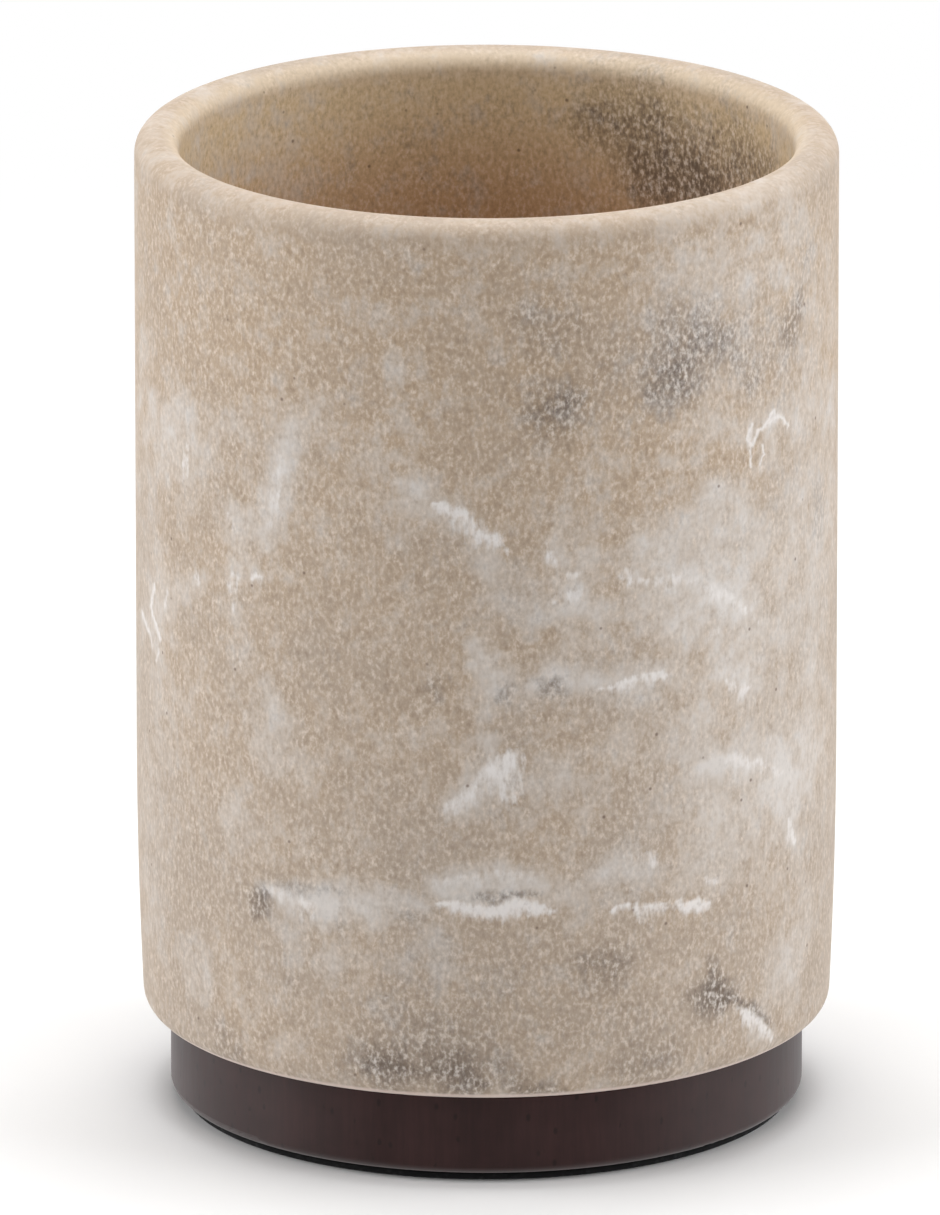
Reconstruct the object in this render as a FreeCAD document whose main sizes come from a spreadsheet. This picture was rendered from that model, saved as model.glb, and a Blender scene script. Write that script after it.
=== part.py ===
# Bathroom tumbler: a cup cast in stone-filled resin, standing on a turned wooden plinth.
# A spigot under the cup's floor drops into a socket in the plinth, on a bed of epoxy.
# A thin foam pad, stuck on with a film of adhesive, covers the plinth's underside.
# The origin is the middle of the pad's underside, +Z points up, and lengths are millimetres.

import FreeCAD, Part

import enum
import os

import Sketcher

SIZES = (
    # The cup
    ("cup_diameter", 76.0, "across the outside of the wall"),
    ("cup_height", 98.0, "from the shoulder that stands on the plinth to the top of the lip"),
    ("wall_thickness", 4.8, "of the upright wall"),
    ("floor_thickness", 7.0, "from the shoulder to the inside floor"),
    ("lip_round", 2.3, "radius of both edges of the lip"),
    ("foot_round", 2.2, "radius of the outer edge at the shoulder"),
    ("floor_round", 5.0, "radius between the inside floor and the wall"),
    ("draw_in", 0.75, "how far the wall curves in at the shoulder"),
    ("draw_in_height", 30.0, "height above the shoulder at which the wall starts to curve in"),
    ("spigot_height", 2.5, "of the locating spigot under the shoulder"),
    # The joint between cup and plinth
    ("spigot_clearance", 0.3, "all round the spigot in its socket"),
    ("bed_thickness", 0.4, "of the epoxy under the spigot"),
    # The plinth
    ("plinth_inset", 3.6, "from the cup's wall in to the plinth's wall"),
    ("plinth_height", 9.1, "from the underside to the top"),
    ("plinth_land", 8.0, "width of the ring that the cup's shoulder stands on"),
    ("plinth_top_round", 0.5, "radius of the top edge"),
    ("plinth_bottom_round", 1.0, "radius of the bottom edge"),
    # The pad under the plinth
    ("pad_thickness", 0.8, "of the foam"),
    ("pad_margin", 0.3, "from the plinth's rounded edge in to the pad's edge"),
    ("film_thickness", 0.15, "of the adhesive"),
    ("film_margin", 0.5, "from the pad's edge in to the film's edge"),
)

# Radii and heights that follow from the sizes
CUP_RADIUS = "Sizes.cup_diameter / 2"
BORE_RADIUS = f"{CUP_RADIUS} - Sizes.wall_thickness"
SHOULDER_RADIUS = f"{CUP_RADIUS} - Sizes.draw_in"
PLINTH_RADIUS = f"{CUP_RADIUS} - Sizes.plinth_inset"
SOCKET_RADIUS = f"{PLINTH_RADIUS} - Sizes.plinth_land"
SPIGOT_RADIUS = f"{SOCKET_RADIUS} - Sizes.spigot_clearance"
PAD_RADIUS = f"{PLINTH_RADIUS} - Sizes.plinth_bottom_round - Sizes.pad_margin"
FILM_RADIUS = f"{PAD_RADIUS} - Sizes.film_margin"
PLINTH_UNDERSIDE = "Sizes.pad_thickness + Sizes.film_thickness"
SHOULDER = f"{PLINTH_UNDERSIDE} + Sizes.plinth_height"
SPIGOT_END = f"{SHOULDER} - Sizes.spigot_height"
SOCKET_FLOOR = f"{SPIGOT_END} - Sizes.bed_thickness"
CUP_FLOOR = f"{SHOULDER} + Sizes.floor_thickness"
LIP = f"{SHOULDER} + Sizes.cup_height"
WALL_BEND = f"{SHOULDER} + Sizes.draw_in_height"
AXIS = "0"

# The two rounds of the lip together stay just under the wall's thickness
LIP_ROUND = "min(Sizes.lip_round; 0.49 * Sizes.wall_thickness)"

EDGE_MATCH = 0.001

doc = FreeCAD.newDocument("Tumbler")


class Ref(enum.IntEnum):
    """How a sketch numbers the two ends of a side, its origin and its upright axis."""

    START = 1
    END = 2
    ORIGIN = -1
    UPRIGHT = -2


def add_sizes():
    """Write the driving sizes into the sheet, one named cell each."""
    sheet = doc.addObject("Spreadsheet::Sheet", "Sizes")
    for row, (name, size, note) in enumerate(SIZES, start=1):
        sheet.set(f"A{row}", name)
        sheet.set(f"B{row}", str(size))
        sheet.setAlias(f"B{row}", name)
        sheet.set(f"C{row}", note)
    doc.recompute()
    return sheet


def length(expression):
    """The present value of an expression over the sheet."""
    return float(sizes.evalExpression(expression))


def add_body(label):
    body = doc.addObject("PartDesign::Body", label)
    body.Label = label
    return body


def bind_point(sketch, point, name, radius, height):
    """Hold a sketch point at a radius and a height that follow the sheet."""
    origin = (Ref.ORIGIN, Ref.START)
    if radius == AXIS:
        sketch.addConstraint(Sketcher.Constraint("PointOnObject", *point, Ref.UPRIGHT))
    else:
        across = Sketcher.Constraint("DistanceX", *origin, *point, length(radius))
        sketch.renameConstraint(sketch.addConstraint(across), f"{name}_radius")
        sketch.setExpression(f"Constraints.{name}_radius", radius)
    up = Sketcher.Constraint("DistanceY", *origin, *point, length(height))
    sketch.renameConstraint(sketch.addConstraint(up), f"{name}_height")
    sketch.setExpression(f"Constraints.{name}_height", height)


def wall_curve(foot, bend):
    """The arc from the foot of a wall up to its bend, upright where it meets the bend."""
    rise = bend.y - foot.y
    reach = bend.x - foot.x
    radius = (rise * rise + reach * reach) / (2 * reach)
    centre = FreeCAD.Vector(bend.x - radius, bend.y, 0)
    middle = (foot + bend) / 2 - centre
    middle = centre + middle.normalize() * radius
    return Part.Arc(foot, middle, bend)


def turned_solid(body, corners, curved_from=None):
    """Turn a closed outline round the upright axis.

    Each corner is a name with a radius and a height. The side that starts at the corner named by
    curved_from is an arc, tangent to the side after it. The other sides are straight.
    """
    sketch = body.newObject("Sketcher::SketchObject", f"{body.Label}_outline")
    plane = next(f for f in body.Origin.OriginFeatures if f.Role == "XZ_Plane")
    sketch.AttachmentSupport = [(plane, "")]
    sketch.MapMode = "FlatFace"
    points = [FreeCAD.Vector(length(radius), length(height), 0) for _, radius, height in corners]
    count = len(corners)
    for side, (name, _, _) in enumerate(corners):
        ends = points[side], points[(side + 1) % count]
        line = wall_curve(*ends) if name == curved_from else Part.LineSegment(*ends)
        sketch.addGeometry(line, False)
    for side, (name, radius, height) in enumerate(corners):
        following = (side + 1) % count
        joined = "Tangent" if name == curved_from else "Coincident"
        sketch.addConstraint(Sketcher.Constraint(joined, side, Ref.END, following, Ref.START))
        bind_point(sketch, (side, Ref.START), name, radius, height)
    turned = body.newObject("PartDesign::Revolution", f"{body.Label}_turned")
    turned.Profile = sketch
    turned.ReferenceAxis = (sketch, ["V_Axis"])
    turned.Angle = 360
    doc.recompute()
    return turned


def round_edges(body, name, expression, rings):
    """Round the edges of a body that run round the axis at the given radii and heights."""
    base = body.Tip
    edges = []
    for radius, height in rings:
        for number, edge in enumerate(base.Shape.Edges, start=1):
            if not isinstance(edge.Curve, Part.Circle):
                continue
            off_radius = abs(edge.Curve.Radius - length(radius))
            off_height = abs(edge.Curve.Center.z - length(height))
            if max(off_radius, off_height) < EDGE_MATCH:
                edges.append(f"Edge{number}")
    if len(edges) != len(rings):
        raise ValueError(f"{name}: {len(edges)} of {len(rings)} edges found")
    fillet = body.newObject("PartDesign::Fillet", name)
    fillet.Base = (base, edges)
    fillet.Radius = length(expression)
    fillet.setExpression("Radius", expression)
    doc.recompute()


def add_disc(label, radius, height, underside):
    """A flat disc on the axis."""
    disc = doc.addObject("Part::Cylinder", label)
    disc.Label = label
    disc.setExpression("Radius", radius)
    disc.setExpression("Height", height)
    disc.setExpression("Placement.Base.z", underside)
    return disc


def make_cup():
    """The casting: spigot, shoulder, wall with its drawn-in foot, lip, bore and floor."""
    cup = add_body("cup")
    turned_solid(
        cup,
        (
            ("spigot_middle", AXIS, SPIGOT_END),
            ("spigot_edge", SPIGOT_RADIUS, SPIGOT_END),
            ("spigot_root", SPIGOT_RADIUS, SHOULDER),
            ("shoulder_edge", SHOULDER_RADIUS, SHOULDER),
            ("wall_bend", CUP_RADIUS, WALL_BEND),
            ("lip_outside", CUP_RADIUS, LIP),
            ("lip_inside", BORE_RADIUS, LIP),
            ("floor_edge", BORE_RADIUS, CUP_FLOOR),
            ("floor_middle", AXIS, CUP_FLOOR),
        ),
        curved_from="shoulder_edge",
    )
    round_edges(cup, "cup_lip_round", LIP_ROUND, ((CUP_RADIUS, LIP), (BORE_RADIUS, LIP)))
    round_edges(cup, "cup_foot_round", "Sizes.foot_round", ((SHOULDER_RADIUS, SHOULDER),))
    round_edges(cup, "cup_floor_round", "Sizes.floor_round", ((BORE_RADIUS, CUP_FLOOR),))
    return cup


def make_plinth():
    """The turned plinth, with the socket for the spigot in its top."""
    plinth = add_body("plinth")
    turned_solid(
        plinth,
        (
            ("underside_middle", AXIS, PLINTH_UNDERSIDE),
            ("underside_edge", PLINTH_RADIUS, PLINTH_UNDERSIDE),
            ("top_edge", PLINTH_RADIUS, SHOULDER),
            ("socket_rim", SOCKET_RADIUS, SHOULDER),
            ("socket_corner", SOCKET_RADIUS, SOCKET_FLOOR),
            ("socket_middle", AXIS, SOCKET_FLOOR),
        ),
    )
    round_edges(plinth, "plinth_top_edge", "Sizes.plinth_top_round", ((PLINTH_RADIUS, SHOULDER),))
    round_edges(
        plinth,
        "plinth_bottom_edge",
        "Sizes.plinth_bottom_round",
        ((PLINTH_RADIUS, PLINTH_UNDERSIDE),),
    )
    return plinth


def check(pieces):
    """Stop if any object failed, or if a piece is not one sound solid."""
    for item in doc.Objects:
        if "Invalid" in item.State or "Error" in item.State:
            raise RuntimeError(f"{item.Label} failed: {item.State}")
    for piece in pieces:
        shape = piece.Shape
        if shape.isNull() or not shape.isValid() or len(shape.Solids) != 1:
            raise RuntimeError(f"{piece.Label} is not one sound solid")


sizes = add_sizes()
pieces = (
    make_cup(),
    make_plinth(),
    add_disc("epoxy_bed", SPIGOT_RADIUS, "Sizes.bed_thickness", SOCKET_FLOOR),
    add_disc("pad_film", FILM_RADIUS, "Sizes.film_thickness", "Sizes.pad_thickness"),
    add_disc("foam_pad", PAD_RADIUS, "Sizes.pad_thickness", AXIS),
)
doc.recompute()
check(pieces)

os.makedirs("parts", exist_ok=True)
for piece in pieces:
    piece.Shape.exportStep(f"parts/{piece.Label}.step")
    box = piece.Shape.optimalBoundingBox()
    print(
        f"{piece.Label}: {piece.Shape.Volume / 1000:.2f} cm3, "
        f"{box.XLength:.2f} x {box.YLength:.2f} x {box.ZLength:.2f} mm, from z {box.ZMin:.2f}"
    )
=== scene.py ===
# Looks of the bathroom tumbler: a cup cast in marbled stone resin on a dark stained plinth.
# The tables give millimetres, and degrees round the upright axis: 0 is the front of the cup and
# 90 its right side.

import math

import bpy
import numpy as np
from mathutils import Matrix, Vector, noise


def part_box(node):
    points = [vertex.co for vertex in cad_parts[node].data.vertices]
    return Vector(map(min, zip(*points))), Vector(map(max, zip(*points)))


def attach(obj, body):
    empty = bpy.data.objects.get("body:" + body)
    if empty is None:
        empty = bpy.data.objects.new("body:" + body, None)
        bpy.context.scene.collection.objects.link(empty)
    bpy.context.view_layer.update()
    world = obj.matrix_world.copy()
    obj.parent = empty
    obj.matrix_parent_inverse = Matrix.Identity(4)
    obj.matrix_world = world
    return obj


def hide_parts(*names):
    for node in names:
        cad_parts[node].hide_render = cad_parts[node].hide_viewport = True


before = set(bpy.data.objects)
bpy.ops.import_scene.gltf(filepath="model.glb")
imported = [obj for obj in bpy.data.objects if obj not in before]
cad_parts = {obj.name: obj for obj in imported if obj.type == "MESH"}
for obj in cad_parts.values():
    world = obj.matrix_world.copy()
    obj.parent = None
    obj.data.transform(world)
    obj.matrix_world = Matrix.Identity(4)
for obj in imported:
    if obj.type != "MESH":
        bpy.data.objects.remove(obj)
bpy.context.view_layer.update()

MM = 0.001

# The view of the photo
VIEW_RISE = 16.422
VIEW_DISTANCE = 2500.0
VIEW_AIM = (-1.796, -0.127, 54.57)
VIEW_LENS = 683.2
VIEW_SENSOR = 36.0
VIEW_FAR = 100.0

# The studio, in metres and watts
FILL_LIGHT = 0.04
FLOOR_GREY = 0.9
FLOOR_HALF = 4.0
WHITE_FROM = (0.16, 0.4)
LAMP_AIM = (0, 0, 0.055)
LAMP_SIZE = 0.8
LAMPS = (
    ("left_box", (-0.9, -0.1, 0.42), 6.4),
    ("right_box", (0.9, -0.1, 0.42), 6.4),
    ("top_box", (0, 0.2, 1.2), 12.8),
    ("front_box", (0, -0.7, 1.1), 2.4),
)

# The casting
WALL = 4.8
FLOOR_THICKNESS = 7.0
LIP_ROUND = 2.3
FOOT_ROUND = 2.2
FLOOR_ROUND = 5.0
DRAW_IN = 0.75
DRAW_IN_HEIGHT = 30.0
CUP_SEGMENTS = 330
FINE_INSIDE_FROM = 80.0

# The foam pad
PAD_EDGE_ROUND = 0.25
PAD_SEGMENTS = 160

# Spacing of the points along the outlines, and the gap that closes at a seam
SPIGOT_END_STEP = 4.4
SPIGOT_SIDE_STEP = 1.3
SHOULDER_STEP = 3.0
FOOT_STEP = 0.45
WALL_STEP = 0.5
LIP_STEP = 0.4
LIP_TOP_STEP = 0.2
INSIDE_STEP = 0.8
DEEP_INSIDE_STEP = 3.0
FLOOR_EDGE_STEP = 1.0
FLOOR_STEP = 3.5
PAD_STEP = 1.5
PAD_EDGE_STEP = 0.08
SEAM_GAP = 0.002

# White streaks in the outer wall: reach in mm, strength, then points as (degrees, height)
STREAKS = (
    # the bright line above the foot, the paler one to its left and the bow over it
    (0.9, 1.0, ((-8.5, 32.8), (-3, 32.7), (3, 32.6), (10.5, 31.8))),
    (1.2, 0.5, ((-38.5, 31.9), (-34, 31.7), (-29, 31.2))),
    (0.9, 0.4, ((-10, 34.8), (-7.5, 35.9), (-4, 35.9), (0, 36.4), (5, 36), (9, 35.6))),
    # the broken lines beside it
    (0.8, 0.8, ((20.9, 31.4), (23.4, 31.8), (25.3, 31.3), (27.3, 31), (31, 31.4), (32.2, 30.7))),
    (0.85, 0.95, ((33.4, 31.5), (34.6, 30.8), (36.6, 30.9), (39.2, 30.2))),
    (0.8, 0.6, ((22.6, 37.3), (24.4, 36.9), (26.7, 37.4), (28.4, 37), (29.6, 35.8))),
    (0.6, 0.5, ((38.5, 33.6), (40.2, 32.8), (41.3, 31.6))),
    # the blob below the middle
    (1.2, 0.6, ((-7, 43), (-4, 44.9), (-1, 46.6))),
    (2.2, 0.8, ((0.5, 47.2), (3.5, 47.9), (4.6, 49.2))),
    # the slanting vein and the wisp to its left
    (1.1, 0.85, ((-8.5, 77.5), (-5, 76.2), (-2, 74.8), (1, 73.4), (3.5, 72))),
    (1.3, 0.4, ((-36.2, 82), (-35.6, 78), (-36, 75), (-37.4, 72))),
    # the cloud right of the middle
    (1.3, 0.6, ((38, 66), (41, 65.4), (43.8, 64.2), (46.8, 62.7))),
    (0.8, 0.65, ((46.5, 62.8), (51.2, 60))),
    (0.8, 0.8, ((18.5, 56.2), (22, 56.5), (26, 57.1), (30, 57))),
    (0.9, 0.6, ((43, 54.8), (46.5, 53.4), (49, 52.8))),
    (0.7, 0.55, ((22, 68.4), (24.3, 68.8))),
    (0.8, 0.45, ((20, 68), (24, 67.4), (29, 67.6), (34.2, 67), (36.8, 67.2))),
    (0.7, 0.55, ((10.2, 74.2), (9.8, 72.7), (10.6, 70.8), (13, 69.7), (15.3, 69.2))),
    (0.9, 0.5, ((10, 66.5), (13, 67.5), (15.5, 66.5))),
    (0.8, 0.5, ((38, 60.3), (40.6, 60.5))),
    # small flecks at the left
    (0.9, 0.6, ((-55, 65.2), (-54.5, 63.6))),
    (0.9, 0.6, ((-45.8, 66), (-46, 62.6))),
    (0.8, 0.6, ((-41, 66.3), (-38.5, 66.6))),
    (0.6, 0.5, ((-45.2, 57.7), (-43, 56.5))),
    (0.8, 0.6, ((-57.5, 79), (-57, 76.5), (-57.5, 74.5))),
    (0.8, 0.55, ((-47.5, 73.4), (-46, 71.5))),
    # the wedge at the foot
    (0.85, 0.95, ((45.6, 17.1), (48.4, 16.1), (51.5, 14.5), (54.2, 12.9), (56, 11.6))),
    (0.9, 0.5, ((46.8, 15.7), (49.4, 14.2))),
    # the bow at the right
    (0.9, 0.75, ((58.2, 36.9), (59.8, 35), (60.8, 33))),
    (1.1, 0.6, ((42, 46), (46, 45.8), (51, 44.8), (56, 42.3))),
    # the far side
    (1.2, 0.9, ((118, 66), (124, 64.5), (131, 64), (138, 61.5))),
    (0.8, 0.7, ((150, 44), (156, 45.5), (163, 45))),
    (1.6, 0.8, ((176, 83), (181, 80.5), (187, 79))),
    (0.9, 0.7, ((196, 37), (203, 36.4), (212, 36.8))),
    (2.0, 0.75, ((224, 58), (229, 60.5), (233, 61.5))),
    (0.7, 0.8, ((243, 25.5), (249, 24.6), (254, 25.2))),
    (0.6, 0.8, ((160, 22), (163, 20), (167, 18.6))),
    (0.8, 0.6, ((205, 93), (209, 90.6))),
    (1.2, 0.8, ((104, 32), (109, 30.6), (113, 30.4))),
)
# Thin lines in the outer wall, in the same form, their reach being half their width
THIN_LINES = (
    # the forked crack at the upper right
    (0.55, 0.8, ((48.3, 82.3), (47.1, 81), (48.3, 80.1), (50, 81.4), (51.4, 81.8), (54.1, 83.1))),
    (0.55, 0.8, ((54.1, 83.1), (54.5, 82.1), (56.4, 82.1), (58.2, 80.8))),
    (0.9, 0.7, ((52.4, 82.1), (55.6, 82.2))),
    (1.1, 0.6, ((48.1, 81.7), (47.8, 80.4))),
    (0.4, 0.75, ((48.1, 80.1), (48, 77.8))),
    (0.4, 0.7, ((51.1, 79.6), (51.4, 78.6), (50.2, 77.6))),
    # the flecks at the left edge
    (0.75, 0.8, ((-70.7, 60.6), (-71.4, 59.4), (-72.4, 58))),
    (0.7, 0.65, ((-64.9, 61), (-65.8, 59.3))),
    (0.8, 0.75, ((-78.6, 56.2), (-73.6, 54.9))),
    (0.75, 0.85, ((-71.8, 57.5), (-70, 56.5), (-68, 55.2))),
    (0.6, 0.65, ((-73, 55), (-71.9, 53.6))),
    (0.6, 0.55, ((-68.4, 53.7), (-69.9, 52.4))),
)
# Pale veils in the outer wall, in the same form
VEILS = (
    # the wisp left of the middle
    (4.0, 0.35, ((-28, 87), (-33, 83.5), (-36, 79), (-36.5, 74))),
    (2.3, 0.6, ((-33, 84.5), (-34.6, 81), (-35.4, 77.5), (-36, 75))),
    (1.9, 0.55, ((-36, 75), (-37, 72.5), (-38, 70))),
    # along the slanting vein and on from its end
    (3.5, 0.25, ((-22, 80), (-14, 78.5), (-8, 77))),
    (2.2, 0.4, ((-12, 79), (-6, 75.8), (2.1, 71.9))),
    (2.4, 0.5, ((0.5, 71), (2.3, 68.2), (6, 66), (11, 64.7))),
    (2.0, 0.35, ((11, 76), (14, 74.5), (15.5, 71), (15.5, 68), (14, 65))),
    (2.2, 0.3, ((10.5, 74), (11, 69), (12.5, 65.5))),
    (2.4, 0.45, ((12, 65.2), (15.8, 64.2), (19, 64.4))),
    # the cloud right of the middle
    (2.6, 0.35, ((21, 71), (24, 70.4), (27, 70.2))),
    (2.4, 0.4, ((35, 77), (39, 76), (44, 74.6), (47, 73))),
    (2.2, 0.4, ((46, 72.5), (50, 70.3), (51, 68))),
    (6.0, 0.4, ((26, 71.5), (31, 70), (38, 67), (46, 63))),
    (5.0, 0.25, ((24, 64.5), (32, 64), (40, 63))),
    (3.5, 0.3, ((37.5, 76), (41, 73), (43, 69))),
    (3.0, 0.45, ((40, 65.5), (47, 62.5), (52, 59.5))),
    # broad, faint clouds
    (14.0, 0.3, ((36, 70), (46, 62), (52, 50), (58, 38))),
    (12.0, 0.35, ((66, 82), (68, 70), (68, 56))),
    (10.0, 0.2, ((67, 50), (67, 25))),
    (7.0, 0.4, ((57, 22), (62, 18))),
    (8.0, 0.2, ((-74, 88), (-74, 66), (-70, 40), (-72, 22))),
    (14.0, 0.25, ((36, 101), (52, 99), (72, 94))),
    (9.0, 0.2, ((26, 97), (38, 93), (50, 89))),
    (8.0, 0.15, ((22, 54), (34, 50))),
    # round the broken line at half height
    (2.2, 0.4, ((42, 57), (46, 55), (51, 52.8))),
    (3.2, 0.55, ((9, 57), (13, 58.5), (17, 57.5))),
    (2.1, 0.6, ((14.5, 56.9), (20, 56.5), (25, 57.2), (29, 57.4))),
    (1.8, 0.5, ((-2.5, 62), (0.5, 59.5), (3.7, 57.3), (8.6, 57))),
    (2.4, 0.3, ((1, 58), (-0.5, 53))),
    # the blob below the middle, and a drift to its left
    (2.6, 0.5, ((-0.5, 51), (1.5, 49.4))),
    (2.4, 0.55, ((-7, 43), (-1, 46), (4, 48.2))),
    (3.2, 0.65, ((2.5, 46.4), (4.5, 48.4))),
    (3.0, 0.4, ((-38, 55), (-37.5, 50), (-38, 45))),
    # the band above the foot
    (2.0, 0.7, ((-40, 31.6), (-33, 32), (-26, 31.9), (-18, 31.9), (-10, 32.2))),
    (2.2, 0.4, ((-10, 35.6), (-6, 35.2))),
    (2.6, 0.65, ((-9, 34.8), (-2, 35.2), (4, 35), (9, 34.8))),
    (3.5, 0.55, ((17, 35.3), (22, 36), (28, 35.3))),
    (2.5, 0.3, ((10, 33), (15, 33.5))),
    # the bow at the right, and the wedge below it
    (2.2, 0.65, ((37.6, 45.7), (43.4, 45.7), (52, 45), (57.1, 42.4), (60.7, 39.3))),
    (5.0, 0.25, ((36, 45), (46, 41))),
    (4.5, 0.35, ((36, 35), (42, 36), (48, 36.4))),
    (1.7, 0.6, ((49.4, 41.4), (55.7, 39.3), (58.8, 36.5), (60.8, 33))),
    (2.0, 0.4, ((48, 16), (52, 13.8), (57, 11.5))),
    # patches at the left
    (3.5, 0.3, ((-78, 56), (-72, 57.5), (-66, 58.5))),
    (3.0, 0.3, ((-66, 60.5), (-60, 62.5), (-53, 64.5))),
    (6.0, 0.45, ((-60, 84), (-57, 79), (-57, 75))),
    (4.0, 0.3, ((-65, 82), (-68, 76))),
    (3.0, 0.5, ((-46, 74), (-43.5, 72), (-43, 70))),
    (2.5, 0.3, ((-46.5, 64.5), (-45, 61))),
    (2.2, 0.3, ((-46, 66), (-42, 66.8), (-38, 66.5))),
    (2.5, 0.3, ((-46, 57.5), (-43, 56))),
    (3.5, 0.3, ((-45, 41), (-46, 36))),
    (3.0, 0.35, ((-46, 84), (-42.5, 82))),
    (4.5, 0.3, ((-57, 23), (-56, 17))),
    # drips below the band
    (2.2, 0.35, ((-26.5, 26.8), (-26, 23.5))),
    (2.4, 0.4, ((-38, 30.6), (-35, 29), (-34, 26.5))),
    (2.2, 0.35, ((-14, 26.5), (-12.7, 24.2))),
    (2.6, 0.35, ((-34.5, 26.5), (-32, 24.6))),
    (2.4, 0.4, ((-11, 29.6), (-8.5, 27.8))),
    (2.5, 0.4, ((-9, 25.6), (-6, 25.2))),
    # small patches about the middle
    (2.0, 0.2, ((-16, 94), (-14, 91.5))),
    (2.0, 0.35, ((-13.5, 74), (-12.5, 72))),
    (3.0, 0.35, ((10, 48), (13, 45))),
    (2.6, 0.3, ((15.5, 45.4), (19, 44.6))),
    (2.4, 0.3, ((6, 43), (9, 42.4))),
    # patches at the right
    (3.0, 0.35, ((48, 82), (56, 82), (62, 80))),
    (2.5, 0.35, ((60, 74), (60.5, 68))),
    (4.0, 0.3, ((63, 47), (66, 40))),
    (3.0, 0.35, ((57, 60.5), (59.5, 57))),
    (3.5, 0.35, ((33, 48.4), (39, 47.2))),
    (3.0, 0.3, ((27, 41.6), (32, 40.8))),
    (3.0, 0.3, ((63, 89), (63.5, 85))),
    (3.5, 0.35, ((76, 79), (80, 81))),
    # the far side
    (5.0, 0.55, ((112, 68), (124, 65), (138, 61))),
    (4.0, 0.5, ((146, 46), (160, 45))),
    (4.5, 0.5, ((170, 86), (180, 81), (190, 78))),
    (3.0, 0.6, ((192, 37), (214, 36.5))),
    (5.0, 0.55, ((220, 56), (232, 62))),
    (3.0, 0.4, ((240, 27), (256, 25))),
    (3.0, 0.45, ((156, 24), (169, 17.5))),
    (5.0, 0.35, ((200, 95), (212, 88))),
    (3.5, 0.5, ((100, 33), (115, 30))),
    (4.0, 0.4, ((236, 80), (246, 74), (250, 68))),
    (3.0, 0.35, ((130, 92), (140, 88), (143, 82))),
    (4.0, 0.35, ((184, 55), (190, 50))),
    (9.0, 0.35, ((96, 74), (112, 70), (128, 60), (140, 48))),
    (8.0, 0.35, ((160, 88), (176, 82), (196, 74))),
    (9.0, 0.3, ((196, 62), (214, 52), (230, 40))),
    (7.0, 0.35, ((236, 96), (252, 88), (262, 76))),
    (6.0, 0.35, ((150, 30), (170, 26), (186, 20))),
    (5.0, 0.35, ((92, 24), (106, 28), (120, 30))),
    (2.4, 0.45, ((122, 57), (132, 54.5), (140, 55))),
    (2.4, 0.45, ((204, 45), (214, 43), (220, 40))),
)
# Grey smoke in the outer wall, in the same form
SMOKE = (
    # the drift at the upper right
    (3.6, 0.7, ((7.5, 87), (11, 87.3), (14.5, 88.5))),
    (3.0, 0.65, ((27, 88.4), (30, 88.8), (34, 90.6))),
    (1.4, 0.5, ((31, 90.8), (37, 91))),
    (4.0, 0.4, ((30, 95.5), (33, 95.5), (37, 93.5))),
    (3.5, 0.4, ((36, 92.5), (42, 93.5))),
    (7.0, 0.35, ((46, 89), (53, 90.5), (60, 93))),
    (2.4, 0.45, ((57, 90.5), (60, 92.5), (62.5, 95))),
    (5.0, 0.3, ((62, 96), (68, 99.5))),
    (5.0, 0.2, ((5, 97.5), (14, 97.5))),
    (8.0, 0.2, ((2, 91), (20, 91), (40, 93))),
    (2.4, 0.5, ((33, 88.6), (37, 88.8))),
    (5.0, 0.3, ((31, 93.5), (38, 93), (44, 91))),
    (2.5, 0.35, ((46, 86.5), (50, 87))),
    # the star at the foot, with the thin line beside the white wedge
    (2.2, 1.0, ((39.5, 20.1), (41.2, 19.4), (43.5, 18.6))),
    (3.5, 0.5, ((37, 20), (44, 18.5))),
    (0.9, 0.6, ((40, 21.5), (40.5, 24))),
    (0.7, 0.9, ((44, 18.7), (50, 16.5), (55, 13.7))),
    # the drift along the foot
    (2.4, 0.8, ((-20, 12.8), (-15, 13), (-11, 12.6))),
    (2.4, 0.8, ((-9, 13.2), (-4, 13), (0, 12.4))),
    (2.0, 0.7, ((4, 12.4), (8, 12))),
    (1.8, 0.6, ((8, 11.6), (13, 11.2))),
    (4.5, 0.35, ((-24, 13.5), (-8, 15.5), (4, 14.5))),
    (3.5, 0.3, ((20, 13), (34, 13.5))),
    (7.0, 0.2, ((-20, 20), (0, 22), (25, 20))),
    (3.0, 0.45, ((15.5, 26), (19, 25), (23, 25))),
    # small marks
    (2.0, 0.6, ((10, 56), (11, 57))),
    (1.5, 0.5, ((3, 57), (4, 55.5))),
    (1.6, 0.8, ((-41.5, 28.5), (-40.5, 30), (-39.5, 31.5))),
    (1.0, 0.35, ((-37, 32.9), (-31, 32.8), (-24, 32.6))),
    (0.6, 0.7, ((-2, 33.9), (3, 33.8), (9, 33.4))),
    (3.0, 0.35, ((-9, 58), (-7.5, 55))),
    (1.6, 0.35, ((-26, 29.3), (-23, 29.2))),
    (1.5, 0.35, ((-13.5, 30.4), (-10.5, 30.9))),
    (4.0, 0.3, ((70, 72), (71, 66))),
    (4.0, 0.35, ((-50, 14), (-46, 12))),
    # the far side
    (4.0, 0.8, ((132, 28), (140, 29.5))),
    (2.0, 0.9, ((135, 28.2), (137.5, 28.9))),
    (5.0, 0.6, ((208, 75), (216, 72), (222, 74))),
    (3.0, 0.7, ((172, 15), (182, 13.5), (190, 14))),
    (4.5, 0.6, ((238, 94), (248, 91))),
    (3.0, 0.6, ((108, 84), (116, 82.5))),
    (2.0, 0.8, ((168, 60), (171, 58.5))),
    (7.0, 0.3, ((200, 79), (214, 74), (228, 77))),
    (5.0, 0.3, ((124, 31), (144, 29))),
)

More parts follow.
